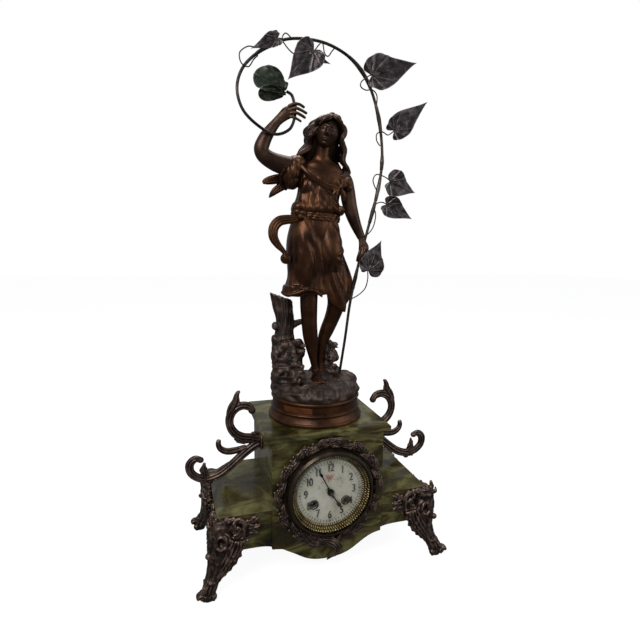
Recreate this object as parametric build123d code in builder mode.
"""Figural mantel clock.

An onyx case on four cast feet holds a round striking movement behind a bezel door.
A cast figure stands on a rock above it and holds a branch with nine leaves.
Millimetres, +Z up, the dial faces -Y, and the origin is on the floor under the middle.
"""

import os
from math import atan2, cos, degrees, hypot, radians, sin, tan

from build123d import *

os.makedirs("parts", exist_ok=True)

# Sizes of the onyx case
block_width = 150.0
block_front = -68.0
block_back = 67.0
block_low = 44.0
block_top = 188.5
stone = 12.0
floor_stone = 10.0
apron_drop = 26.3
slab_width = 168.0
slab_depth = 143.0
slab_height = 7.7
slab_bevel = 2.2
dial_height = 114.5
case_hole_radius = 47.5

# Sizes of the wings
wing_end = 141.4
wing_half_depth = 64.0
wing_arch = 48.5
wing_joint_low = 45.5
cap_overhang = 2.0
cap_low = 97.0
cap_height = 14.0
cap_end_bevel = 15.0
cap_side_bevel = 9.5
cap_corner = 13.0

# Sizes of the cast mounts
foot_flange = 5.0
foot_splay = 15.5
toe_radius = 6.4
scroll_thickness = 9.0
wreath_inner = 60.6
wreath_outer = 69.0
wreath_thickness = 6.0

# Sizes of the bezel, dial and hands
bezel_flange = 2.0
bezel_radius = 60.3
tube_wall = 2.5
tube_length = 9.0
sight_inner = 44.0
sight_height = 7.6
sight_outer = 52.6
dial_thickness = 1.6
dial_radius = 46.9
dial_seat = 2.4
door_radius = 59.0
door_height = 13.0
door_swing_room = 2.8
glass_thickness = 2.0
glass_radius = 54.2
glass_sag = 4.3
winding_spread = 21.7
winding_drop = 15.0
winding_hole = 5.0
minute_hand_length = 41.0
hour_hand_length = 29.0
hand_thickness = 0.8
minutes_shown = 55.5
hours_shown = 4.0 + minutes_shown / 60

# Sizes of the movement
plate_thickness = 2.0
front_plate_radius = 44.5
back_plate_radius = 42.0
plate_gap = 28.0
plate_to_dial = 8.8
pillar_radius = 2.5
pillar_ring = 38.5
running_fit = 0.06
seat_gap = 0.3
barrel_radius = 17.0
barrel_depth = 14.0
barrel_arbor = 2.5
great_wheel_radius = 21.05
centre_pinion_radius = 5.05
centre_wheel_radius = 14.4
wheel_thickness = 1.5
arbor_radius = 1.3
motion_distance = 15.0
anchor_height = 34.0
escape_height = 25.0
escape_radius = 5.8
third_x = 9.5
third_z = 14.0
third_wheel_radius = 12.1
bob_radius = 15.0
bob_thickness = 9.0
bob_drop = 75.5
bell_radius = 30.0
bell_depth = 18.0
bell_wall = 1.6
bell_drop = 9.5
hinge_pin_radius = 1.0
knuckle_radius = 2.4
knuckle_height = 6.0

# Sizes of the figure group
socle_radius = 64.5
socle_height = 31.8
rock_radius = 60.0
rock_height = 17.0
stem_radius = 1.9
stem_sides = 8
sheath_radius = 2.8
petiole_radius = 0.9
grip_room = 0.12
leaf_thickness = 1.2

# Levels that follow from the sizes
slab_top = block_top + slab_height
ground = slab_top + socle_height
rock_top = ground + rock_height
flange_front = block_front - bezel_flange
dial_front = flange_front - dial_seat
plate_front = dial_front + dial_thickness + plate_to_dial
plate_inner = plate_front + plate_thickness
back_plate_front = plate_inner + plate_gap
back_plate_rear = back_plate_front + plate_thickness
pendulum_y = back_plate_rear + 8.0


def facing(x, y, z):
    """Plane square to the dial's axis: its X is the clock's X, its Y is up, its normal is to the front."""
    return Plane(origin=(x, y, z), x_dir=(1, 0, 0), z_dir=(0, -1, 0))


def turned(profile, x=0.0, z=dial_height):
    """Solid turned about a line along Y from corners given as depth and radius."""
    with BuildPart() as body:
        with BuildSketch(Plane.YZ.offset(x)):
            with BuildLine():
                Polyline(*[(y, z + radius) for y, radius in profile], close=True)
            make_face()
        revolve(axis=Axis((x, 0, z), (0, 1, 0)))
    return body.part


def domed(edge, apex, z, y_edge, side):
    """Arc in the YZ plane from the axis to the rim of a dome, centred on the turning axis."""
    radius = (edge**2 + apex**2) / (2 * apex)
    return RadiusArc((y_edge + side * apex, z), (y_edge, z + edge), side * radius)


def rod(x, z, y_from, y_to, radius):
    """Plain round bar along Y."""
    return turned([(y_from, 0), (y_from, radius), (y_to, radius), (y_to, 0)], x, z)


def stroke(points, widths):
    """Face of a tapering scroll: curves through the points, moved half the local width to each side."""
    near, far = [], []
    for i, (x, z) in enumerate(points):
        before = points[max(i - 1, 0)]
        after = points[min(i + 1, len(points) - 1)]
        run = hypot(after[0] - before[0], after[1] - before[1])
        across = (before[1] - after[1]) / run * widths[i] / 2
        along = (after[0] - before[0]) / run * widths[i] / 2
        near.append((x + across, z + along))
        far.append((x - across, z - along))
    with BuildSketch() as face:
        with BuildLine():
            Spline(*near)
            Line(near[-1], far[-1])
            Spline(*reversed(far))
            Line(far[0], near[0])
        make_face()
    return face.sketch


def upright(sections):
    """Loft through level ellipses: x, y, height above the ground, half width, half depth."""
    with BuildPart() as body:
        for x, y, height, half_width, half_depth in sections:
            with BuildSketch(Plane((x, y, ground + height))):
                Ellipse(half_width, half_depth)
        loft()
    return body.part


def limb(sections):
    """Loft through round sections square to a bent path: x, y, height above the ground, radius."""
    points = [Vector(x, y, ground + height) for x, y, height, _ in sections]
    with BuildPart() as body:
        for i, (*_, radius) in enumerate(sections):
            along = (points[min(i + 1, len(points) - 1)] - points[max(i - 1, 0)]).normalized()
            depth = Vector(0, 1, 0)
            depth = (depth - along * depth.dot(along)).normalized()
            with BuildSketch(Plane(origin=points[i], x_dir=depth, z_dir=along)):
                Circle(radius)
        loft()
    return body.part


def bent_wire(points, radius, sides=6):
    """Wire along straight runs joined by arcs as large as the runs allow, with flats in place of a true round."""
    corners = [Vector(x, y, ground + height) for x, y, height in points]
    radii = []
    for before, corner, after in zip(corners, corners[1:], corners[2:]):
        shorter = min((corner - before).length, (after - corner).length)
        turn = (corner - before).get_angle(after - corner)
        radii.append(0.45 * shorter / tan(radians(turn) / 2))
    with BuildPart() as body:
        with BuildLine() as path:
            FilletPolyline(*corners, radius=radii)
        with BuildSketch(path.line ^ 0):
            RegularPolygon(radius, sides)
        sweep()
    return body.part


def toothed(teeth, module, turn):
    """Wheel outline with straight-sided teeth, thin enough to leave play in mesh."""
    pitch_radius = teeth * module / 2
    tip, root = pitch_radius + 0.7 * module, pitch_radius - 1.1 * module
    corners = []
    for i in range(teeth):
        for radius, share in ((root, -0.3), (tip, -0.1), (tip, 0.1), (root, 0.3)):
            angle = radians(turn + (i + share) * 360 / teeth)
            corners.append((radius * cos(angle), radius * sin(angle)))
    with BuildSketch() as wheel:
        with BuildLine():
            Polyline(*corners, close=True)
        make_face()
    return wheel.sketch


def keep(part, name):
    """Names a finished piece and writes it to its own file."""
    part.label = name
    export_step(part, f"parts/{name}.step")


# Front panel: one slab with a round hole for the movement and a serpentine apron
half_block = block_width / 2
apron = [(57, 0.18), (44, 0.47), (32, 0.75), (18, 0.94)]
apron_right = [(x * half_block / 75, block_low - apron_drop * share) for x, share in apron]
apron_left = [(-x, z) for x, z in reversed(apron_right)]
with BuildPart() as front_panel:
    with BuildSketch(facing(0, block_front, 0)):
        with BuildLine():
            Polyline(
                (-half_block, block_low),
                (-half_block, block_top),
                (half_block, block_top),
                (half_block, block_low),
            )
            Spline(
                (half_block, block_low),
                *apron_right,
                (0, block_low - apron_drop),
                *apron_left,
                (-half_block, block_low),
                tangents=[(-1, -0.1), (-1, 0.1)],
            )
        make_face()
        with Locations((0, dial_height)):
            Circle(case_hole_radius, mode=Mode.SUBTRACT)
    extrude(amount=-stone)
keep(front_panel.part, "front_panel")

# Side panels, back panel and floor of the block
inner_front = block_front + stone
inner_back = block_back - stone
for side, name in ((-1, "left_side_panel"), (1, "right_side_panel")):
    with BuildPart() as side_panel:
        with BuildSketch(Plane.YZ.offset(side * half_block)):
            with Locations(((inner_front + inner_back) / 2, (block_low + block_top) / 2)):
                Rectangle(inner_back - inner_front, block_top - block_low)
        extrude(amount=-side * stone)
    keep(side_panel.part, name)

with BuildPart() as back_panel:
    with BuildSketch(facing(0, block_back, (block_low + block_top) / 2)):
        Rectangle(block_width, block_top - block_low)
        with Locations((0, dial_height - (block_low + block_top) / 2)):
            Circle(case_hole_radius, mode=Mode.SUBTRACT)
    extrude(amount=stone)
keep(back_panel.part, "back_panel")

with BuildPart() as floor_slab:
    with BuildSketch(Plane((0, (inner_front + inner_back) / 2, block_low))):
        Rectangle(block_width - 2 * stone, inner_back - inner_front)
    extrude(amount=floor_stone)
keep(floor_slab.part, "floor_slab")

# Top slab: overhangs the block, thin bevel along its upper edge
with BuildPart() as top_slab:
    with BuildSketch(Plane.XY.offset(block_top)):
        Rectangle(slab_width, slab_depth)
    extrude(amount=slab_height)
    chamfer(top_slab.faces().sort_by(Axis.Z)[-1].edges(), slab_bevel)
keep(top_slab.part, "top_slab")

# Wings: solid stone with an arched underside, made for the right and mirrored
with BuildPart() as right_wing_body:
    with BuildSketch(facing(0, wing_half_depth, 0)):
        with BuildLine():
            Polyline(
                (half_block, wing_joint_low),
                (half_block, cap_low),
                (wing_end, cap_low),
                (wing_end, wing_arch),
                (half_block + 25, wing_arch),
            )
            Spline(
                (half_block + 25, wing_arch),
                (half_block, wing_joint_low),
                tangents=[(-1, 0), (-1, -0.35)],
            )
        make_face()
    extrude(amount=2 * wing_half_depth)

# Caps: bevelled on top at the front, back and end, with the back corner cut off
cap_end = wing_end + cap_overhang
cap_half_depth = wing_half_depth + cap_overhang
with BuildPart() as right_wing_cap:
    for level, end_inset, side_inset in ((0, 0, 0), (cap_height, cap_end_bevel, cap_side_bevel)):
        end = cap_end - end_inset
        side = cap_half_depth - side_inset
        with BuildSketch(Plane.XY.offset(cap_low + level)):
            with BuildLine():
                Polyline(
                    (half_block, -side),
                    (end, -side),
                    (end, side - cap_corner),
                    (end - cap_corner, side),
                    (half_block, side),
                    close=True,
                )
            make_face()
    loft(ruled=True)

with BuildPart() as left_wing_body:
    mirror(right_wing_body.part, about=Plane.YZ)
with BuildPart() as left_wing_cap:
    mirror(right_wing_cap.part, about=Plane.YZ)
keep(right_wing_body.part, "right_wing_body")
keep(left_wing_body.part, "left_wing_body")
keep(right_wing_cap.part, "right_wing_cap")
keep(left_wing_cap.part, "left_wing_cap")

# Feet: a leg that splays from the wing's corner to a bun toe, with a leafy flange on both faces
leg_sections = [
    (-1.0, cap_low - 1.0, 11.0),
    (0.0, cap_low - 9.0, 12.5),
    (1.0, cap_low - 20.0, 13.8),
    (1.0, cap_low - 32.0, 13.6),
    (0.5, cap_low - 43.0, 12.6),
    (1.0, wing_arch - 6.0, 11.0),
    (3.5, wing_arch - 15.0, 9.6),
    (7.5, 24.0, 8.8),
    (11.5, 15.0, 8.5),
    (14.5, 7.5, 9.0),
    (foot_splay, 0.0, toe_radius),
]
flange_outline = [(2, -1), (-20, -4), (-37, -9), (-50, -17), (-45, -31), (-33, -45), (-20, -57), (-7, -66), (2, -62)]


def flange_face(reach):
    """Outline of a foot's flange from the wing's corner and the cap's underside."""
    with BuildSketch() as face:
        with BuildLine():
            points = [(x * reach, cap_low + z) for x, z in flange_outline]
            Spline(*points)
            Line(points[-1], points[0])
        make_face()
    return face.sketch


front_flange = flange_face(1.0)
side_flange = flange_face(0.8)
with BuildPart() as foot:
    for splay, z, radius in leg_sections:
        with BuildSketch(Plane((wing_end + splay, -wing_half_depth - 0.8 * splay, z))):
            Circle(radius)
    loft()
    with BuildSketch(facing(wing_end, -wing_half_depth, 0)):
        add(front_flange)
    extrude(amount=foot_flange)
    with BuildSketch(Plane(origin=(wing_end, -wing_half_depth, 0), x_dir=(0, -1, 0), z_dir=(-1, 0, 0))):
        add(side_flange)
    extrude(amount=-foot_flange)
    # Leaf tip beside the cap's corner, and the knob under it
    for level, radius in ((-14.0, 6.0), (1.0, 4.2), (9.0, 0.8)):
        with BuildSketch(Plane((wing_end + 6.5, -wing_half_depth - 5.5, cap_low + level))):
            Circle(radius)
    loft()
    with Locations((wing_end + 14.0, -wing_half_depth - 6.0, wing_arch + 5.5)):
        Sphere(4.6)
    # Pierced eye of the flange
    with BuildSketch(facing(wing_end - 3.0, -wing_half_depth - 20.0, wing_arch + 21.5)):
        Circle(4.2)
    extrude(amount=-16.0, mode=Mode.SUBTRACT)
    # Seat round the wing's lower corner
    with BuildSketch(Plane((wing_end - 50, -wing_half_depth + 50, wing_arch))):
        Rectangle(100, 100)
    extrude(amount=cap_low - wing_arch, mode=Mode.SUBTRACT)
    # Under the cap's overhang
    with BuildSketch(Plane((cap_end - 50, -cap_half_depth + 50, cap_low))):
        Rectangle(100, 100)
    extrude(amount=cap_height, mode=Mode.SUBTRACT)
with BuildPart() as left_foot:
    mirror(foot.part, about=Plane.YZ)
with BuildPart() as back_foot:
    mirror(foot.part, about=Plane.XZ)
with BuildPart() as far_foot:
    mirror(left_foot.part, about=Plane.XZ)
keep(foot.part, "front_right_foot")
keep(left_foot.part, "front_left_foot")
keep(back_foot.part, "back_right_foot")
keep(far_foot.part, "back_left_foot")

# Scroll mounts: a lower C-scroll, an upper C-scroll with a finial, a barb and a leaf, on an oval pad
scroll_root = block_top - 26.0


def from_root(points):
    """Places scroll points given from the middle of the pad on the block's side."""
    return [(half_block + x, scroll_root + z) for x, z in points]


lower_path = [(2, -1), (12, -6), (26, -16), (40, -28), (53, -38), (65, -43.5), (77, -45)]
lower_path += [(88, -41), (95.5, -33), (96, -22.5), (89.5, -15.5), (80.5, -16)]
upper_path = [(4, 1), (15, 6), (27, 8.5), (37, 15), (43, 26), (43, 38), (37, 48), (27, 52.5), (18, 50.5), (12.5, 44.5)]
finial_path = [(42, 37), (38, 48), (34.5, 57), (34, 68)]
barb_path = [(24, -7), (38, -9), (50, -9), (57, -4), (58.5, 4)]
leaf_path = [(77, -46), (79, -34), (78, -23.5)]
ridge_path = [(16, 2), (30, 2.5), (37, 7)]
scroll_strokes = [
    stroke(from_root(lower_path), [11, 13, 12.5, 12, 12, 12.5, 12, 10.5, 9, 7.5, 6, 5]),
    stroke(from_root(upper_path), [10, 11.5, 12, 12, 11, 10.5, 10, 9, 7.5, 6]),
    stroke(from_root(finial_path), [7, 7, 5, 4.5]),
    stroke(from_root(barb_path), [6, 7, 6.5, 5.5, 4.5]),
    stroke(from_root(leaf_path), [13, 9, 1.5]),
    stroke(from_root(ridge_path), [8, 7, 2]),
]
scroll_ends = [(80.5, -16.5, 3.6), (12.5, 43.5, 5.2), (34, 69, 3.0), (58.5, 5, 3.4), (70, -50, 3.8)]
with BuildPart() as right_scroll_mount:
    with BuildSketch(facing(0, scroll_thickness / 2, 0)):
        for face in scroll_strokes:
            add(face)
        for x, z, radius in scroll_ends:
            with Locations((half_block + x, scroll_root + z)):
                Circle(radius)
    extrude(amount=scroll_thickness)
    with BuildSketch(Plane.YZ.offset(half_block)):
        with Locations((0, scroll_root)):
            Ellipse(9.0, 12.5)
    extrude(amount=3.0)
    with BuildSketch(Plane.YZ.offset(half_block)):
        with Locations((0, scroll_root)):
            Rectangle(40, 60)
    extrude(amount=-20, mode=Mode.SUBTRACT)
with BuildPart() as left_scroll_mount:
    mirror(right_scroll_mount.part, about=Plane.YZ)
keep(right_scroll_mount.part, "right_scroll_mount")
keep(left_scroll_mount.part, "left_scroll_mount")

# Wreath round the bezel: a ring with leaf lobes, flowers, a top bow and a hanging leaf
hinge_x = door_radius + 3.5
hinge_y = flange_front - 7.5
wreath_middle = (wreath_inner + wreath_outer) / 2
lobe_count = 22
with BuildPart() as wreath_mount:
    with BuildSketch(facing(0, block_front, dial_height)):
        Circle(wreath_outer - 2.5)
        for i in range(lobe_count):
            turn = (i + 0.5) * 360 / lobe_count
            reach = wreath_middle + (1.8 if i % 2 else 0.6)
            with Locations(Location((reach * cos(radians(turn)), reach * sin(radians(turn)), 0), (0, 0, turn + 62))):
                Ellipse(8.2, 4.6)
        Circle(wreath_inner, mode=Mode.SUBTRACT)
    extrude(amount=wreath_thickness)
    # Bow and flower above the bezel, and the leaf that hangs to the apron's lowest point
    bow = stroke([(-17, 63), (-9, 66.5), (0, 68), (9, 66.5), (17, 63)], [5, 9, 12, 9, 5])
    drop = stroke([(0, -61), (3, -70), (4, -80), (0, -90), (-3, -97)], [26, 19, 15, 8, 1.5])
    with BuildSketch(facing(0, block_front, dial_height)):
        add(bow)
        add(drop)
        with Locations((0, 68)):
            Circle(5.4)
    extrude(amount=wreath_thickness + 1.5)
    # Flowers standing higher than the leaves
    for turn, radius in ((40, 4.6), (75, 4.0), (105, 4.0), (140, 4.6), (195, 4.8), (232, 4.6), (300, 4.6), (345, 4.4)):
        place = (wreath_middle * cos(radians(turn)), wreath_middle * sin(radians(turn)))
        with BuildSketch(facing(0, block_front, dial_height)):
            with Locations(place):
                RegularPolygon(radius, 8)
        extrude(amount=wreath_thickness + 2.5, taper=12)
    # Room for the bezel, its hinge and the top slab
    with BuildSketch(facing(0, block_front, dial_height)):
        Circle(wreath_inner)
        with Locations((hinge_x, 0)):
            Rectangle(2 * knuckle_radius + 3.0, 3 * knuckle_height + 3.0)
    extrude(amount=20, mode=Mode.SUBTRACT)
    with BuildSketch(facing(0, block_front, block_top + 20)):
        Rectangle(80, 40)
    extrude(amount=20, mode=Mode.SUBTRACT)
keep(wreath_mount.part, "wreath_mount")


def knuckles(x, y, spans, radius=knuckle_radius, bore=hinge_pin_radius + running_fit):
    """Hinge barrels about an upright pin, one for each span of heights from the dial's middle."""
    with BuildPart() as body:
        for low, high in spans:
            with BuildSketch(Plane((x, y, dial_height + low))):
                Circle(radius)
                Circle(bore, mode=Mode.SUBTRACT)
            extrude(amount=high - low)
    return body.part


half_knuckle = knuckle_height / 2
outer_spans = [(half_knuckle + seat_gap, 1.5 * knuckle_height), (-1.5 * knuckle_height, -half_knuckle - seat_gap)]
middle_span = [(-half_knuckle, half_knuckle)]
pin_bore = hinge_pin_radius + running_fit

# Bezel base: flange on the stone, tube in its hole, and the fixed barrels of the door's hinge
tube_radius = case_hole_radius - 0.2
tube_inner = tube_radius - tube_wall
with BuildPart() as bezel_base:
    add(
        turned(
            [
                (block_front + tube_length, tube_inner),
                (block_front + tube_length, tube_radius),
                (block_front, tube_radius),
                (block_front, bezel_radius),
                (flange_front, bezel_radius),
                (flange_front, tube_inner),
            ]
        )
    )
    for low, high in outer_spans:
        with BuildSketch(Plane((0, 0, dial_height + low))):
            with BuildLine():
                Polyline(
                    (door_radius - 4.0, block_front),
                    (hinge_x + knuckle_radius, block_front),
                    (hinge_x + knuckle_radius, hinge_y),
                    (hinge_x - knuckle_radius, hinge_y),
                    (hinge_x - knuckle_radius, flange_front),
                    (door_radius - 4.0, flange_front),
                    close=True,
                )
            make_face()
        extrude(amount=high - low)
    add(knuckles(hinge_x, hinge_y, outer_spans))
    with BuildSketch(Plane((hinge_x, hinge_y, dial_height - 2 * knuckle_height))):
        Circle(pin_bore)
    extrude(amount=4 * knuckle_height, mode=Mode.SUBTRACT)
keep(bezel_base.part, "bezel_base")

# Sight ring: milled gilt cone between the dial and the door, with the dial's seat behind its lip
with BuildPart() as sight_ring:
    add(
        turned(
            [
                (dial_front, sight_inner),
                (dial_front - sight_height, sight_outer - 1.2),
                (dial_front - sight_height, sight_outer),
                (flange_front, sight_outer),
                (flange_front, dial_radius + seat_gap),
                (dial_front, dial_radius + seat_gap),
            ]
        )
    )
keep(sight_ring.part, "sight_ring")

# Bezel door: moulded ring with the glass let in from the front, bevelled inside to swing past the sight ring
door_back = flange_front - 0.4
door_front = flange_front - door_height
glass_back = dial_front - sight_height - 0.4
door_bore = sight_outer + 0.6
with BuildPart() as bezel_door:
    add(
        turned(
            [
                (door_back - door_swing_room - 1.8, door_bore),
                (door_back, door_bore + door_swing_room),
                (door_back, door_radius),
                (door_back - 4.6, door_radius),
                (door_back - 9.6, door_radius - 1.4),
                (door_front, door_radius - 3.8),
                (door_front, glass_radius - 1.2),
                (glass_back - glass_thickness - 0.2, glass_radius - 1.2),
                (glass_back - glass_thickness - 0.2, glass_radius + 0.2),
                (glass_back, glass_radius + 0.2),
                (glass_back, door_bore),
            ]
        )
    )
    with BuildSketch(Plane((0, 0, dial_height - half_knuckle))):
        with Locations(((door_radius + hinge_x) / 2 - 1.0, hinge_y)):
            Rectangle(hinge_x - door_radius + 2.0, 2.6)
    extrude(amount=knuckle_height)
    add(knuckles(hinge_x, hinge_y, middle_span))
    with BuildSketch(Plane((hinge_x, hinge_y, dial_height - knuckle_height))):
        Circle(pin_bore)
    extrude(amount=2 * knuckle_height, mode=Mode.SUBTRACT)
keep(bezel_door.part, "bezel_door")

with BuildPart() as bezel_glass:
    with BuildSketch(Plane.YZ):
        with BuildLine():
            back = domed(glass_radius, glass_sag, dial_height, glass_back, -1)
            front = domed(glass_radius, glass_sag, dial_height, glass_back - glass_thickness, -1)
            Line(back @ 0, front @ 0)
            Line(back @ 1, front @ 1)
        make_face()
    revolve(axis=Axis((0, 0, dial_height), (0, 1, 0)))
keep(bezel_glass.part, "bezel_glass")

# Rear door frame and rear door, hung like the bezel door
rear_flange = block_back + bezel_flange
rear_hinge_x = bezel_radius - 3.8
rear_hinge_y = rear_flange + 3.2
with BuildPart() as rear_frame:
    add(
        turned(
            [
                (block_back - tube_length, tube_inner),
                (block_back - tube_length, tube_radius),
                (block_back, tube_radius),
                (block_back, bezel_radius - 2.0),
                (rear_flange, bezel_radius - 2.0),
                (rear_flange, tube_inner),
            ]
        )
    )
    for low, high in outer_spans:
        with BuildSketch(Plane((rear_hinge_x, (rear_flange + rear_hinge_y) / 2, dial_height + low))):
            Rectangle(2 * knuckle_radius, rear_hinge_y - rear_flange)
        extrude(amount=high - low)
    add(knuckles(rear_hinge_x, rear_hinge_y, outer_spans))
    with BuildSketch(Plane((rear_hinge_x, rear_hinge_y, dial_height - 2 * knuckle_height))):
        Circle(pin_bore)
    extrude(amount=4 * knuckle_height, mode=Mode.SUBTRACT)
keep(rear_frame.part, "rear_frame")

rear_door_radius = rear_hinge_x - knuckle_radius - 2.0
rear_door_back = rear_flange + 0.4
rear_door_thickness = 2.0
with BuildPart() as rear_door:
    add(
        turned(
            [
                (rear_door_back, 0),
                (rear_door_back, rear_door_radius),
                (rear_door_back + rear_door_thickness, rear_door_radius),
                (rear_door_back + rear_door_thickness + 2.0, rear_door_radius - 9.0),
                (rear_door_back + rear_door_thickness + 2.0, 0),
            ]
        )
    )
    with BuildSketch(Plane((0, 0, dial_height - half_knuckle))):
        with Locations((rear_hinge_x - 4.0, rear_door_back + rear_door_thickness / 2)):
            Rectangle(8.0, rear_door_thickness)
    extrude(amount=knuckle_height)
    add(knuckles(rear_hinge_x, rear_hinge_y, middle_span))
    add(rod(-rear_door_radius + 6.0, dial_height, rear_door_back, rear_door_back + 8.0, 2.6))
    with BuildSketch(Plane((rear_hinge_x, rear_hinge_y, dial_height - knuckle_height))):
        Circle(pin_bore)
    extrude(amount=2 * knuckle_height, mode=Mode.SUBTRACT)
keep(rear_door.part, "rear_door")

# Hinge pins of both doors
with BuildPart() as hinge_pins:
    for x, y in ((hinge_x, hinge_y), (rear_hinge_x, rear_hinge_y)):
        with BuildSketch(Plane((x, y, dial_height - 1.5 * knuckle_height - 0.8))):
            Circle(hinge_pin_radius)
        extrude(amount=3 * knuckle_height + 1.6)
keep(hinge_pins.part, "hinge_pins")

# Straps that draw the bezel and the rear frame together through the case
with BuildPart() as movement_straps:
    for side in (-1, 1):
        with BuildSketch(facing(side * (tube_inner + tube_radius) / 2, block_back - tube_length, dial_height)):
            Rectangle(tube_wall - 0.3, 9.0)
        extrude(amount=block_back - block_front - 2 * tube_length)
keep(movement_straps.part, "movement_straps")

# Dial: enamelled disc with holes for the hands and the two winding squares
hour_pipe = 3.4
winding_places = [(-winding_spread, -winding_drop), (winding_spread, -winding_drop)]
with BuildPart() as dial:
    with BuildSketch(facing(0, dial_front + dial_thickness, dial_height)):
        Circle(dial_radius)
        Circle(hour_pipe + 0.5, mode=Mode.SUBTRACT)
        with Locations(*winding_places):
            Circle(winding_hole, mode=Mode.SUBTRACT)
    extrude(amount=dial_thickness)
keep(dial.part, "dial")

# Movement plates: round brass plates, the front one with five riveted pillars and the motion stud
cannon_bore = arbor_radius + 0.03
third_arbor = 1.0
escape_arbor = 0.9
anchor_arbor = 1.0
hammer_arbor = 1.2
hammer_x = -36.0
hammer_z = dial_height + 12.0
back_pivots = [
    (0, 0, arbor_radius - 0.3),
    (third_x, third_z, third_arbor),
    (0, escape_height, escape_arbor),
    (0, anchor_height, anchor_arbor),
    (hammer_x, hammer_z - dial_height, hammer_arbor),
    (winding_spread, -winding_drop, barrel_arbor - 0.8),
    (-winding_spread, -winding_drop, barrel_arbor + 1.5),
]
front_pivots = [
    (0, 0, arbor_radius),
    (third_x, third_z, third_arbor),
    (0, escape_height, escape_arbor),
    (0, anchor_height, anchor_arbor),
    (hammer_x, hammer_z - dial_height, hammer_arbor),
    (winding_spread, -winding_drop, barrel_arbor),
    (-winding_spread, -winding_drop, barrel_arbor),
]
stud_radius = 1.2
with BuildPart() as movement_front_plate:
    with BuildSketch(facing(0, plate_inner, dial_height)):
        Circle(front_plate_radius)
        for x, z, radius in front_pivots:
            with Locations((x, z)):
                Circle(radius + running_fit, mode=Mode.SUBTRACT)
    extrude(amount=plate_thickness)
    for turn in (8, 62, 118, 172, 270):
        x, z = pillar_ring * cos(radians(turn)), pillar_ring * sin(radians(turn))
        add(rod(x, dial_height + z, plate_inner, back_plate_front, pillar_radius))
    add(rod(0, dial_height + motion_distance, plate_front, dial_front + dial_thickness + 0.6, stud_radius))
keep(movement_front_plate.part, "movement_front_plate")

with BuildPart() as movement_back_plate:
    with BuildSketch(facing(0, back_plate_rear, dial_height)):
        Circle(back_plate_radius)
        for x, z, radius in back_pivots:
            with Locations((x, z)):
                Circle(radius + running_fit, mode=Mode.SUBTRACT)
    extrude(amount=plate_thickness)
keep(movement_back_plate.part, "movement_back_plate")

# Barrels: spring drums that turn on their winding arbors; the strike barrel carries the count wheel
barrel_front = plate_inner + 2.0
barrel_back = barrel_front + barrel_depth
barrel_bore = barrel_arbor + running_fit
going_x, strike_x = winding_spread, -winding_spread
barrel_z = dial_height - winding_drop
going_wheel_y = barrel_back + 2.0
with BuildPart() as going_barrel:
    add(
        turned(
            [
                (barrel_front, barrel_bore),
                (barrel_front, barrel_radius),
                (barrel_back, barrel_radius),
                (barrel_back, 7.0),
                (going_wheel_y, 7.0),
                (going_wheel_y, great_wheel_radius),
                (going_wheel_y + wheel_thickness, great_wheel_radius),
                (going_wheel_y + wheel_thickness, barrel_bore),
            ],
            going_x,
            barrel_z,
        )
    )
keep(going_barrel.part, "going_barrel")

count_wheel_y = back_plate_rear + 0.6
count_wheel_radius = 13.0
count_pipe = barrel_arbor + 1.5
with BuildPart() as strike_barrel:
    add(
        turned(
            [
                (barrel_front, barrel_bore),
                (barrel_front, barrel_radius),
                (barrel_back, barrel_radius),
                (barrel_back, great_wheel_radius),
                (barrel_back + wheel_thickness, great_wheel_radius),
                (barrel_back + wheel_thickness, count_pipe),
                (count_wheel_y, count_pipe),
                (count_wheel_y, count_wheel_radius),
                (count_wheel_y + 1.2, count_wheel_radius),
                (count_wheel_y + 1.2, barrel_bore),
            ],
            strike_x,
            barrel_z,
        )
    )
    # Notches of the count wheel, spaced for one to twelve blows
    with BuildSketch(facing(strike_x, count_wheel_y + 1.2, barrel_z)):
        blows = 0
        for hour in range(1, 13):
            blows += hour
            turn = blows * 360 / 78
            place = (count_wheel_radius * cos(radians(turn)), count_wheel_radius * sin(radians(turn)), 0)
            with Locations(Location(place, (0, 0, turn))):
                Rectangle(4.0, 0.7)
    extrude(amount=1.2, mode=Mode.SUBTRACT)
keep(strike_barrel.part, "strike_barrel")

# Winding arbors: each passes through its barrel and ends in a key square behind the dial's hole
square_size = 3.4
for name, x, tail, tail_radius in (
    ("going_winding_arbor", going_x, back_plate_rear + 0.4, barrel_arbor - 0.8),
    ("strike_winding_arbor", strike_x, count_wheel_y + 1.2, barrel_arbor),
):
    shoulder = back_plate_front - 0.4 if tail_radius < barrel_arbor else tail
    with BuildPart() as winding_arbor:
        add(rod(x, barrel_z, plate_front - 1.5, shoulder, barrel_arbor))
        if tail > shoulder:
            add(rod(x, barrel_z, shoulder, tail, tail_radius))
        with BuildSketch(facing(x, plate_front - 1.5, barrel_z)):
            Rectangle(square_size, square_size)
        extrude(amount=plate_front - 1.5 - dial_front - 0.5)
    keep(winding_arbor.part, name)

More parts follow.
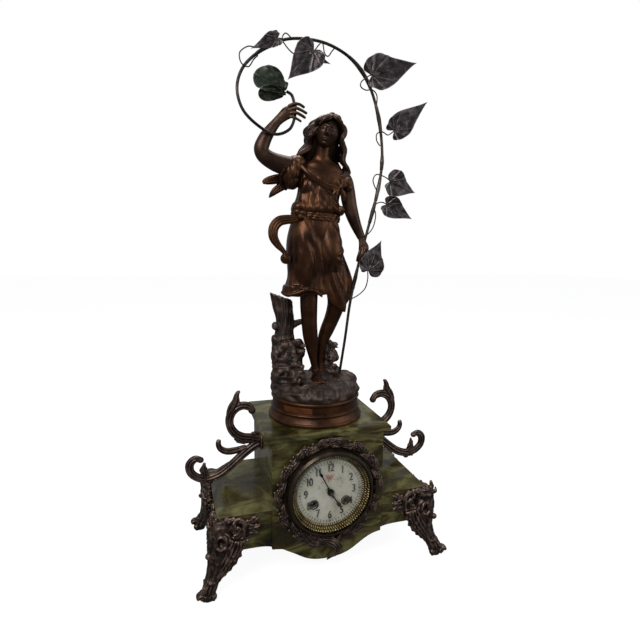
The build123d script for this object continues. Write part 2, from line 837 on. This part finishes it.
# Centre wheel: arbor through the front plate, wheel and pinion
nut_thickness = 1.3
cannon_front = dial_front - 4.4
arbor_front = cannon_front - hand_thickness - nut_thickness
centre_wheel_y = back_plate_front - 5.0
with BuildPart() as centre_wheel:
    add(
        turned(
            [
                (arbor_front, 0),
                (arbor_front, arbor_radius),
                (going_wheel_y - 1.5, arbor_radius),
                (going_wheel_y - 1.5, centre_pinion_radius),
                (going_wheel_y + wheel_thickness + 1.0, centre_pinion_radius),
                (going_wheel_y + wheel_thickness + 1.0, 2.0),
                (centre_wheel_y, 2.0),
                (centre_wheel_y, centre_wheel_radius),
                (centre_wheel_y + wheel_thickness, centre_wheel_radius),
                (centre_wheel_y + wheel_thickness, 2.0),
                (back_plate_front - 0.4, 2.0),
                (back_plate_front - 0.4, arbor_radius - 0.3),
                (back_plate_rear + 0.4, arbor_radius - 0.3),
                (back_plate_rear + 0.4, 0),
            ]
        )
    )
    # Crossings between four spokes
    with BuildSketch(facing(0, centre_wheel_y + wheel_thickness, dial_height)):
        Circle(centre_wheel_radius - 2.4)
        Circle(4.0, mode=Mode.SUBTRACT)
        Rectangle(2.4, 2 * centre_wheel_radius, mode=Mode.SUBTRACT)
        Rectangle(2 * centre_wheel_radius, 2.4, mode=Mode.SUBTRACT)
    extrude(amount=wheel_thickness, mode=Mode.SUBTRACT)
keep(centre_wheel.part, "centre_wheel")

# Third wheel: its pinion stands beside the centre wheel
third_wheel_y = plate_inner + 11.0
third_pinion = 2.2
with BuildPart() as third_wheel:
    add(
        turned(
            [
                (plate_front - 0.3, 0),
                (plate_front - 0.3, third_arbor),
                (plate_inner + 0.4, third_arbor),
                (plate_inner + 0.4, 1.5),
                (third_wheel_y, 1.5),
                (third_wheel_y, third_wheel_radius),
                (third_wheel_y + wheel_thickness, third_wheel_radius),
                (third_wheel_y + wheel_thickness, 1.5),
                (centre_wheel_y - 1.5, 1.5),
                (centre_wheel_y - 1.5, third_pinion),
                (back_plate_front - 1.0, third_pinion),
                (back_plate_front - 1.0, third_arbor),
                (back_plate_rear + 0.3, third_arbor),
                (back_plate_rear + 0.3, 0),
            ],
            third_x,
            dial_height + third_z,
        )
    )
keep(third_wheel.part, "third_wheel")

# Escape wheel: pointed teeth between the pallets
escape_y = plate_inner + 6.0
escape_teeth = 15
with BuildPart() as escape_wheel:
    add(
        turned(
            [
                (plate_front - 0.3, 0),
                (plate_front - 0.3, escape_arbor),
                (third_wheel_y - 1.5, escape_arbor),
                (third_wheel_y - 1.5, 1.9),
                (third_wheel_y + wheel_thickness + 1.5, 1.9),
                (third_wheel_y + wheel_thickness + 1.5, escape_arbor),
                (back_plate_rear + 0.3, escape_arbor),
                (back_plate_rear + 0.3, 0),
            ],
            0,
            dial_height + escape_height,
        )
    )
    tips = []
    for i in range(escape_teeth):
        for radius, share in ((escape_radius - 1.8, 0.0), (escape_radius, 0.7)):
            angle = radians((i + share) * 360 / escape_teeth)
            tips.append((radius * cos(angle), radius * sin(angle)))
    with BuildSketch(facing(0, escape_y + 1.2, dial_height + escape_height)):
        with BuildLine():
            Polyline(*tips, close=True)
        make_face()
    extrude(amount=1.2)
keep(escape_wheel.part, "escape_wheel")

# Anchor: pallets, arbor and the crutch whose fork embraces the pendulum rod
crutch_length = 20.0
crutch_y = back_plate_rear + 3.5
rod_radius = 1.0
anchor_z = dial_height + anchor_height
with BuildPart() as anchor:
    add(rod(0, anchor_z, plate_front - 0.3, crutch_y + 1.2, anchor_arbor))
    pallets = stroke([(-6.9, -6.0), (-5.4, -2.2), (0, 0.4), (5.4, -2.2), (6.9, -6.0)], [1.0, 1.8, 3.0, 1.8, 1.0])
    with BuildSketch(facing(0, escape_y + 1.2, anchor_z)):
        add(pallets)
        Circle(2.2)
    extrude(amount=1.2)
    with BuildSketch(facing(0, crutch_y + 1.2, anchor_z)):
        with Locations((0, -crutch_length / 2)):
            Rectangle(2.0, crutch_length)
        with Locations((0, -crutch_length)):
            Rectangle(5.0, 3.0)
        Circle(2.2)
    extrude(amount=1.2)
    for side in (-1, 1):
        with BuildSketch(facing(side * (rod_radius + 0.9), pendulum_y + rod_radius, anchor_z - crutch_length)):
            Rectangle(1.2, 2.6)
        extrude(amount=pendulum_y + rod_radius - crutch_y - 0.6)
keep(anchor.part, "anchor")

# Suspension cock on the back plate, slotted for the pendulum's spring
cock_low = anchor_z + 4.0
cock_height = 7.0
spring_width = 4.0
with BuildPart() as suspension_cock:
    with BuildSketch(facing(0, pendulum_y + 3.5, cock_low + cock_height / 2)):
        Rectangle(10.0, cock_height)
    extrude(amount=pendulum_y + 3.5 - back_plate_rear)
    with BuildSketch(Plane((0, pendulum_y, cock_low))):
        Rectangle(2.8, spring_width + 1.2)
    extrude(amount=cock_height, mode=Mode.SUBTRACT)
keep(suspension_cock.part, "suspension_cock")

# Pendulum: spring with its chop pinned over the cock, rod and lens-shaped bob
bob_z = anchor_z - bob_drop
with BuildPart() as pendulum_rod:
    with BuildSketch(Plane((0, pendulum_y, anchor_z - 4.0))):
        Rectangle(0.5, spring_width)
    extrude(amount=cock_low + cock_height + seat_gap - anchor_z + 4.0)
    with BuildSketch(Plane((0, pendulum_y, cock_low + cock_height + seat_gap))):
        Rectangle(5.0, spring_width)
    extrude(amount=3.0)
    with BuildSketch(Plane((0, pendulum_y, anchor_z - 8.0))):
        Rectangle(2.6, spring_width)
    extrude(amount=4.5)
    with BuildSketch(Plane((0, pendulum_y, bob_z - bob_radius - 1.2))):
        Circle(rod_radius)
    extrude(amount=bob_drop + bob_radius + 1.2 - 7.0)
keep(pendulum_rod.part, "pendulum_rod")

with BuildPart() as pendulum_bob:
    with BuildSketch(Plane.YZ):
        with BuildLine():
            back = domed(bob_radius, bob_thickness / 2 - 0.6, bob_z, pendulum_y + 0.6, 1)
            front = domed(bob_radius, bob_thickness / 2 - 0.6, bob_z, pendulum_y - 0.6, -1)
            Line(back @ 0, front @ 0)
            Line(back @ 1, front @ 1)
        make_face()
    revolve(axis=Axis((0, 0, bob_z), (0, 1, 0)))
    with BuildSketch(Plane((0, pendulum_y, bob_z - bob_radius))):
        Circle(rod_radius + 0.05)
    extrude(amount=2 * bob_radius, mode=Mode.SUBTRACT)
keep(pendulum_bob.part, "pendulum_bob")

# Bell and the stand that bends in from the back plate, clear of the pendulum
bell_front = pendulum_y + bob_thickness / 2 + 3.5
bell_back = bell_front + bell_depth
bell_z = dial_height - bell_drop
with BuildPart() as bell:
    with BuildSketch(Plane.YZ):
        with BuildLine():
            Line((bell_front, bell_z + bell_radius - bell_wall), (bell_front, bell_z + bell_radius))
            ThreePointArc(
                (bell_front, bell_z + bell_radius),
                (bell_front + bell_depth * 0.7, bell_z + bell_radius * 0.78),
                (bell_back, bell_z + 8.0),
            )
            Line((bell_back, bell_z + 8.0), (bell_back, bell_z + 2.1))
            Line((bell_back, bell_z + 2.1), (bell_back - bell_wall, bell_z + 2.1))
            Line((bell_back - bell_wall, bell_z + 2.1), (bell_back - bell_wall, bell_z + 8.0))
            ThreePointArc(
                (bell_back - bell_wall, bell_z + 8.0),
                (bell_front + bell_depth * 0.66, bell_z + bell_radius * 0.72),
                (bell_front, bell_z + bell_radius - bell_wall),
            )
        make_face()
    revolve(axis=Axis((0, 0, bell_z), (0, 1, 0)))
keep(bell.part, "bell")

stand_x, stand_z = 13.0, bell_z - 9.0
stand_back = bell_back - bell_wall - 4.0
with BuildPart() as bell_stand:
    add(rod(stand_x, stand_z, back_plate_rear, stand_back, 2.0))
    arm = stroke([(stand_x, stand_z), (stand_x / 2, (stand_z + bell_z) / 2 + 0.5), (0, bell_z)], [5.0, 5.0, 5.0])
    with BuildSketch(facing(0, stand_back, 0)):
        add(arm)
        with Locations((stand_x, stand_z), (0, bell_z)):
            Circle(2.8)
    extrude(amount=2.0)
    add(rod(0, bell_z, stand_back, bell_back - bell_wall, 3.6))
    add(rod(0, bell_z, bell_back - bell_wall, bell_back + 3.4, 1.9))
    add(rod(0, bell_z, bell_back + 0.1, bell_back + 2.4, 3.6))
keep(bell_stand.part, "bell_stand")

# Hammer: arbor through both plates, arm and head beside the bell's rim
hammer_y = bell_front + 3.0
head_z = bell_z
with BuildPart() as hammer:
    add(rod(hammer_x, hammer_z, plate_front - 0.3, hammer_y + 1.2, hammer_arbor))
    with BuildSketch(facing(hammer_x, hammer_y + 1.2, (hammer_z + head_z) / 2)):
        Rectangle(2.0, hammer_z - head_z)
    extrude(amount=2.4)
    with BuildSketch(facing(hammer_x, hammer_y + 1.2, hammer_z)):
        Circle(2.4)
    extrude(amount=2.4)
    with BuildSketch(Plane.YZ.offset(hammer_x - 2.5)):
        with Locations((hammer_y, head_z)):
            Circle(3.4)
    extrude(amount=-bell_radius - 1.5 - hammer_x + 2.5)
keep(hammer.part, "hammer")

# Motion work: cannon pinion, minute wheel with its pinion, and hour wheel, in mesh
cannon_teeth, minute_teeth = 12, 36
minute_pinion_teeth, hour_teeth = 10, 40
lower_module = 2 * motion_distance / (cannon_teeth + minute_teeth)
upper_module = 2 * motion_distance / (minute_pinion_teeth + hour_teeth)
cannon_pipe = 2.3
lower_mesh_y = plate_front - 2.6
upper_mesh_y = lower_mesh_y - 3.0
with BuildPart() as cannon_pinion:
    with BuildSketch(facing(0, lower_mesh_y, dial_height)):
        add(toothed(cannon_teeth, lower_module, 90))
    extrude(amount=1.8)
    add(rod(0, dial_height, cannon_front, lower_mesh_y, cannon_pipe))
    with BuildSketch(facing(0, plate_front, dial_height)):
        Circle(cannon_bore)
    extrude(amount=20, mode=Mode.SUBTRACT)
keep(cannon_pinion.part, "cannon_pinion")

minute_z = dial_height + motion_distance
with BuildPart() as minute_wheel:
    with BuildSketch(facing(0, lower_mesh_y - 0.2, minute_z)):
        add(toothed(minute_teeth, lower_module, -90 + 180 / minute_teeth))
    extrude(amount=1.2)
    with BuildSketch(facing(0, lower_mesh_y - 1.4, minute_z)):
        add(toothed(minute_pinion_teeth, upper_module, -90 + 180 / minute_pinion_teeth))
    extrude(amount=3.4)
    with BuildSketch(facing(0, plate_front, minute_z)):
        Circle(stud_radius + running_fit)
    extrude(amount=20, mode=Mode.SUBTRACT)
keep(minute_wheel.part, "minute_wheel")

hour_front = dial_front - 2.4
with BuildPart() as hour_wheel:
    with BuildSketch(facing(0, upper_mesh_y, dial_height)):
        add(toothed(hour_teeth, upper_module, 90))
    extrude(amount=1.2)
    add(rod(0, dial_height, hour_front, upper_mesh_y, hour_pipe))
    with BuildSketch(facing(0, plate_front, dial_height)):
        Circle(cannon_pipe + running_fit)
    extrude(amount=20, mode=Mode.SUBTRACT)
keep(hour_wheel.part, "hour_wheel")


def hand(length, hub, bore, blade, spade, turn):
    """Hand with a ring hub, a slim tapering blade, a spade near its tip and a short tail, turned clockwise."""
    with BuildSketch() as flat:
        with BuildLine():
            Polyline(
                (-blade, -hub - 3.0),
                (-blade / 2, 0),
                (-blade / 3, length * 0.9),
                (0, length),
                (blade / 3, length * 0.9),
                (blade / 2, 0),
                (blade, -hub - 3.0),
                close=True,
            )
        make_face()
        with Locations((0, length * 0.72)):
            Ellipse(spade, spade * 1.5)
        Circle(hub)
        Circle(bore, mode=Mode.SUBTRACT)
    return flat.sketch.rotate(Axis.Z, -turn)


# Hands: both show the time on the dial
hour_flat = hand(hour_hand_length, hour_pipe + 1.4, hour_pipe - 0.4, 1.8, 2.8, hours_shown * 30)
minute_flat = hand(minute_hand_length, cannon_pipe + 1.3, cannon_bore, 1.6, 1.8, minutes_shown * 6)
with BuildPart() as hour_hand:
    with BuildSketch(facing(0, hour_front, dial_height)):
        add(hour_flat)
    extrude(amount=hand_thickness)
keep(hour_hand.part, "hour_hand")
with BuildPart() as minute_hand:
    with BuildSketch(facing(0, cannon_front, dial_height)):
        add(minute_flat)
    extrude(amount=hand_thickness)
keep(minute_hand.part, "minute_hand")
with BuildPart() as hand_nut:
    add(
        turned(
            [
                (cannon_front - hand_thickness, cannon_bore),
                (cannon_front - hand_thickness, 3.0),
                (arbor_front, 2.0),
                (arbor_front, cannon_bore),
            ]
        )
    )
keep(hand_nut.part, "hand_nut")

# Socle: round moulded base with a bare band for a plate
with BuildPart() as socle:
    with BuildSketch(Plane.XZ):
        with BuildLine():
            Polyline(
                (0, slab_top),
                (socle_radius, slab_top),
                (socle_radius, slab_top + 3.0),
                (socle_radius - 1.5, slab_top + 5.0),
            )
            RadiusArc((socle_radius - 1.5, slab_top + 5.0), (socle_radius - 5.0, slab_top + 12.5), 9.0)
            Polyline(
                (socle_radius - 5.0, slab_top + 12.5),
                (socle_radius - 3.6, slab_top + 13.5),
                (socle_radius - 3.6, slab_top + 15.5),
                (socle_radius - 5.4, slab_top + 16.5),
                (socle_radius - 5.4, ground - 4.5),
                (socle_radius - 3.8, ground - 3.0),
                (socle_radius - 3.8, ground - 0.8),
                (socle_radius - 4.4, ground),
                (0, ground),
                (0, slab_top),
            )
        make_face()
    revolve(axis=Axis.Z)
keep(socle.part, "socle")

# Branch stem: leaves the rock, arches over the head and curls back into the raised hand
stem_socket = 6.0
stem_points = [
    (30, -10, rock_height - stem_socket),
    (39, -10, 72),
    (46, -10, 126),
    (57, -10, 178),
    (69, -10, 224),
    (80, -10, 266),
    (86, -10, 304),
    (84.5, -10, 338),
    (77, -10, 374),
    (62.5, -10, 408),
    (40.5, -10, 431.5),
    (10, -10, 445),
    (-22, -10, 447.5),
    (-50.5, -11, 441.5),
    (-78, -12, 425),
    (-97.5, -13.5, 404.5),
    (-104.5, -15, 381),
    (-98, -16, 357.5),
    (-79, -16, 340.5),
    (-59, -15.5, 333),
    (-41, -13, 340.5),
    (-33.5, -10, 356),
    (-33.5, -9, 370),
    (-37, -10, 381),
    (-44, -11, 385),
]
sheaths = [(4, 0.55, 16), (5, 0.3, 15), (7, 0.75, 16), (9, 0.5, 24), (13, 0.6, 16)]


def stem(spare):
    """The branch with its sheaths, grown by the spare all round."""
    with BuildPart() as body:
        add(bent_wire(stem_points, stem_radius + spare, stem_sides))
        for run, share, length in sheaths:
            start = Vector(*stem_points[run]) + Vector(0, 0, ground)
            end = Vector(*stem_points[run + 1]) + Vector(0, 0, ground)
            along = (end - start).normalized()
            middle = start + (end - start) * share
            for distance, radius in ((-0.5, stem_radius + 0.1), (0, sheath_radius), (0.5, stem_radius + 0.1)):
                place = middle + along * distance * (length + 4 * spare)
                with BuildSketch(Plane(origin=place, x_dir=(0, 1, 0), z_dir=along)):
                    RegularPolygon(radius + spare, stem_sides)
            loft(ruled=True)
    return body.part


with BuildPart() as branch_stem:
    add(stem(0))
stem_room = stem(grip_room)
keep(branch_stem.part, "branch_stem")


def heart(length, width):
    """Heart-shaped blade from the notch at the origin to the tip on +X."""
    half = [(-0.12, 0.24), (0.03, 0.45), (0.24, 0.5), (0.56, 0.3), (0.84, 0.09)]
    upper = [(x * length, z * width) for x, z in half]
    lower = [(x, -z) for x, z in upper]
    with BuildSketch() as blade:
        with BuildLine():
            Spline((0, 0), *upper, (length, 0))
            Spline((length, 0), *reversed(lower), (0, 0))
        make_face()
    return blade.sketch


def leaf(base, tip, width, facing_way, wires):
    """One leaf: a heart blade square to the way it faces, with its wire stalks."""
    start = Vector(*base) + Vector(0, 0, ground)
    end = Vector(*tip) + Vector(0, 0, ground)
    along = (end - start).normalized()
    normal = Vector(*facing_way)
    normal = (normal - along * normal.dot(along)).normalized()
    blade = heart((end - start).length, width)
    with BuildPart() as body:
        with BuildSketch(Plane(origin=start, x_dir=along, z_dir=normal)):
            add(blade)
        extrude(amount=leaf_thickness / 2, both=True)
        for wire in wires:
            add(bent_wire(wire, petiole_radius))
    return body.part


# Leaves round the curl, and down the branch's right side, each with its looped stalk
curl_leaves = [
    ((-44, -11.5, 385), (-85, -14, 398), 36, (0.1, -1, 0.25), []),
    (
        (-84, -14, 428),
        (-55, -12, 444),
        25,
        (0.3, -0.75, 0.6),
        [[(-80, -14, 430), (-92, -15, 428), (-101, -16, 419), (-99, -16.5, 408), (-90, -15.5, 406), (-82, -12, 419)]],
    ),
    (
        (-10, -15, 435),
        (-44, -15, 397),
        37,
        (0.1, -1, 0.1),
        [
            [(-14, -15, 431), (-2, -12, 446.5), (4, -10, 434), (10, -9.5, 431.5), (15, -9.8, 441)],
            [(-30, -15, 424), (-45, -15, 432), (-51, -14.5, 442), (-46, -14, 449.5), (-35, -11, 446)],
        ],
    ),
    ((-11, -15, 426), (10, -13, 421), 10, (0, -1, 0.2), []),
]
side_leaves = [
    (
        (66, -12, 416),
        (130, -14, 437),
        44,
        (0.1, -1, 0.15),
        [
            [
                (71, -12, 417.6),
                (56, -15.5, 410),
                (50, -16, 402),
                (57, -15.5, 396),
                (69, -15, 398),
                (76, -13.5, 391),
                (75.5, -10.5, 380),
            ]
        ],
    ),
    (
        (100, -12, 350),
        (148, -14, 391),
        32,
        (0.15, -1, 0.1),
        [[(104, -12.2, 353.5), (91, -14.5, 344), (82, -15.5, 347.5), (74.5, -15, 343), (76, -14, 336), (83.5, -10.5, 331)]],
    ),
    (
        (97, -12, 286),
        (135, -14, 272),
        37,
        (0, -1, 0.1),
        [[(101, -12.2, 284.5), (86, -15, 292), (76, -15.5, 294), (71.5, -15, 287), (75, -14, 278), (81.5, -10.5, 272)]],
    ),
    (
        (93, -12, 256),
        (132, -14, 237),
        29,
        (0.1, -1, -0.1),
        [[(97, -12.2, 254), (85, -12.5, 258.5), (77, -10.3, 254.5)]],
    ),
    (
        (68, -10, 166),
        (90, -12, 206),
        23,
        (0.1, -1, 0),
        [[(70, -10.2, 170), (69, -12.5, 152), (61.5, -12, 137), (46.5, -10.3, 128)]],
    ),
]
tendril_wire = [(76, -10.5, 250), (78, -13, 238), (75.5, -13, 225), (66.5, -10.3, 213)]
with BuildPart() as crown_leaves:
    for base, tip, width, facing_way, wires in curl_leaves:
        add(leaf(base, tip, width, facing_way, wires))
    add(stem_room, mode=Mode.SUBTRACT)
keep(crown_leaves.part, "crown_leaves")
with BuildPart() as branch_leaves:
    for base, tip, width, facing_way, wires in side_leaves:
        add(leaf(base, tip, width, facing_way, wires))
    add(bent_wire(tendril_wire, petiole_radius))
    add(stem_room, mode=Mode.SUBTRACT)
keep(branch_leaves.part, "branch_leaves")

# Rock: a round mound with a tall crag on the left, a smaller one behind, and the broken tree stump
hem = 130.0
stump_break_x = -46.0
stump_slope = 0.42
with BuildPart() as rock_ground:
    add(upright([(0, 0, 0, rock_radius, rock_radius), (0, 0, 10, 58, 57), (-1, 0, rock_height, 50, 49)]))
    add(upright([(-36, 4, 4, 23, 28), (-37, 8, 30, 22, 24), (-38, 9, 52, 20, 20), (-37, 10, 69, 13, 13)]))
    add(upright([(18, 22, 4, 22, 20), (20, 20, 34, 13, 14), (22, 18, 62, 9, 9)]))
    with BuildPart() as stump:
        add(upright([(-42, 12, 55, 14, 13), (-41, 12, 95, 12, 11), (-42, 12, 116, 14, 12), (-49, 12, 142, 18, 11)]))
        with BuildSketch(Plane(origin=(stump_break_x, 0, ground + hem - 1.0), z_dir=(stump_slope, 0, 1))):
            Rectangle(120, 120)
        extrude(amount=40, mode=Mode.SUBTRACT)
    add(stump.part)
    add(limb([(-34, 13, 88, 4.5), (-24, 14, 93, 3.8), (-14, 14, 96, 3.2)]))
keep(rock_ground.part, "rock_ground")

# Legs: bare, from the hem to the rock, the front one straight and the rear one bent back
with BuildPart() as figure_legs:
    front_leg = [
        (-12.5, -10, hem, 11.5),
        (-12, -10, 104, 11.3),
        (-9, -9.5, 76, 9.8),
        (-6, -8.5, 58, 7.6),
        (-2, -8, 42, 5.6),
        (1, -8, 30, 5.2),
    ]
    rear_leg = [
        (24, 2, hem, 14.0),
        (19, 4, 106, 10.5),
        (14, 5, 88, 8.6),
        (10, 5.5, 70, 7.4),
        (8, 6, 50, 5.6),
        (8, 6, 34, 5.0),
    ]
    for leg in (front_leg, rear_leg):
        add(upright([(x, y, height, radius, radius) for x, y, height, radius in leg]))
    # Feet, flat on the rock
    add(upright([(-1, -17, rock_height, 8, 14), (0, -13, 24, 6.5, 10), (1, -9.5, 32, 4.8, 5.5)]))
    add(upright([(8.5, 6, rock_height, 7, 12), (8.5, 6, 24, 6, 9), (8, 6, 36, 4.6, 5.2)]))
    with BuildSketch(Plane((0, 0, ground + hem))):
        Rectangle(120, 120)
    extrude(amount=30, mode=Mode.SUBTRACT)
with BuildPart() as rock_trimmed:
    add(rock_ground.part)
    add(bent_wire(stem_points[:3], stem_radius + grip_room, stem_sides), mode=Mode.SUBTRACT)
    add(figure_legs.part, mode=Mode.SUBTRACT)
keep(rock_trimmed.part, "rock_ground")
keep(figure_legs.part, "figure_legs")


def folded(sections, folds, depth):
    """Loft through level rings that wave in and out like cloth folds."""
    with BuildPart() as cloth:
        for x, y, height, half_width, half_depth, swing in sections:
            ring = []
            for i in range(2 * folds):
                angle = radians(i * 180 / folds)
                wave = 1 + depth * swing * (1 if i % 2 else -1)
                ring.append((half_width * wave * cos(angle), half_depth * wave * sin(angle)))
            with BuildSketch(Plane((x, y, ground + height))):
                with BuildLine():
                    Spline(*ring, periodic=True)
                make_face()
        loft()
    return cloth.part


# Skirt: gathered at the waist, with folds that deepen to the hem, a front flap and a trailing drape
waist = 244.0
with BuildPart() as figure_skirt:
    skirt_sections = [
        (0, 0, waist, 29, 21, 0.1),
        (-4, 0, 226, 32.5, 25, 0.2),
        (-4.5, 0, 206, 37, 28, 0.4),
        (-3, 0, 184, 37, 27, 0.8),
        (0, 0, 160, 38, 27, 1.2),
        (-1, 0, hem, 44, 30, 1.6),
    ]
    add(folded(skirt_sections, 9, 0.035))
    add(upright([(38, 6, 172, 5, 8), (44, 8, 156, 10, 9), (49, 8, 142, 10, 9), (46, 8, 122, 7, 7), (43, 8, 114, 3, 4)]))
    add(upright([(24, -8, hem + 26, 14, 12), (27, -13, hem + 4, 14, 12), (30, -17, hem - 14, 7, 5)]))
    add(figure_legs.part, mode=Mode.SUBTRACT)
keep(figure_skirt.part, "figure_skirt")

# Bodice with the neck: bloused at the waist, wide at the bust, sloping to the shoulders
neck_top = 320.0
with BuildPart() as figure_bodice:
    bodice_sections = [
        (0, 0, waist, 30, 21),
        (1, -1, 256, 30, 22),
        (3, -2.5, 268, 31, 23),
        (4, -1.5, 281, 30, 21),
        (6, 0, 293, 30, 17),
        (8, 1, 303, 21, 13),
        (8, 1.5, 310, 13, 11.5),
        (8, 1, neck_top, 12, 12),
    ]
    add(upright(bodice_sections))
keep(figure_bodice.part, "figure_bodice")

# Arms: the raised one bends at the elbow and closes on the branch, the lowered one holds it at the hip
with BuildPart() as raised_arm:
    add(limb([(-16, 0, 296, 16), (-32, -1, 297, 15), (-46, -2, 299, 12), (-62, -4, 304, 10), (-74, -5, 311, 9.4)]))
    add(limb([(-75, -5, 306, 8.0), (-73.5, -5, 314, 8.8), (-68.5, -5, 325, 7.8), (-61, -5, 339, 6.8), (-53, -6, 350, 5.7)]))
    add(limb([(-53.5, -6, 349.5, 5.6), (-46, -7.5, 356, 7.6), (-37, -9, 361, 8.6), (-28, -10, 362, 6.0), (-20, -11, 361, 2.2)]))
    add(figure_bodice.part, mode=Mode.SUBTRACT)
    add(bent_wire(stem_points[18:23], stem_radius + grip_room, stem_sides), mode=Mode.SUBTRACT)
keep(raised_arm.part, "raised_arm")

with BuildPart() as lowered_arm:
    add(limb([(22, 0, 297, 9), (33, 0, 295, 10.5), (40, 0, 283, 11.5), (43, 0, 262, 10.6), (48.5, -2, 242, 9.4), (54.5, -5, 226, 7.8), (62, -8, 210, 5.6)]))
    add(limb([(61.5, -8, 211, 5.5), (63, -9.5, 202, 7.6), (62, -10, 192, 7.4), (58, -9, 182, 5.4), (56, -7, 176, 2.4)]))
    add(figure_bodice.part, mode=Mode.SUBTRACT)
    add(figure_skirt.part, mode=Mode.SUBTRACT)
    add(bent_wire(stem_points[2:6], stem_radius + grip_room, stem_sides), mode=Mode.SUBTRACT)
    add(branch_leaves.part, mode=Mode.SUBTRACT)
keep(lowered_arm.part, "lowered_arm")

# Head: the face, and the hair that falls behind the neck and spreads over the shoulders
with BuildPart() as figure_head:
    hair = [
        (14, 14, 290, 29, 5),
        (8, 12, 304, 34, 7),
        (9, 10, 316, 29, 9),
        (10, 7, 328, 25, 13),
        (10.5, 3, 340, 24, 18),
        (12, 2, 350, 22, 19),
        (14, 1, 358, 15, 13),
        (15, 1, 362.5, 5, 5),
    ]
    add(upright(hair))
    add(upright([(8.5, -6, 322, 8, 9), (8.5, -8, 331, 13.5, 13), (9, -9, 342, 16, 14), (10, -7, 352, 14, 12)]))
    add(figure_bodice.part, mode=Mode.SUBTRACT)
    add(raised_arm.part, mode=Mode.SUBTRACT)
    add(lowered_arm.part, mode=Mode.SUBTRACT)
keep(figure_head.part, "figure_head")

# Ribbons: the sash's looped tail with its knot, and the two tips at the raised shoulder
with BuildPart() as figure_ribbons:
    sash = stroke(
        [(-30, 232), (-44, 231), (-56, 228), (-62, 216), (-58, 203), (-50, 194), (-45, 188)],
        [11, 10, 10, 11, 10, 8, 6],
    )
    with BuildSketch(facing(0, -13, ground)):
        add(sash)
    extrude(amount=6)
    with Locations((-45.5, -16, ground + 183)):
        Sphere(7.0)
    tips = [
        stroke([(-30, 284), (-48, 283.5), (-62, 280.5), (-70, 279)], [10, 10, 8, 4]),
        stroke([(-30, 280), (-44, 275), (-55, 268), (-61, 261)], [9, 9, 7, 2]),
    ]
    with BuildSketch(facing(0, 12, ground)):
        for tip in tips:
            add(tip)
    extrude(amount=6)
    add(figure_skirt.part, mode=Mode.SUBTRACT)
    add(figure_bodice.part, mode=Mode.SUBTRACT)
    add(raised_arm.part, mode=Mode.SUBTRACT)
keep(figure_ribbons.part, "figure_ribbons")
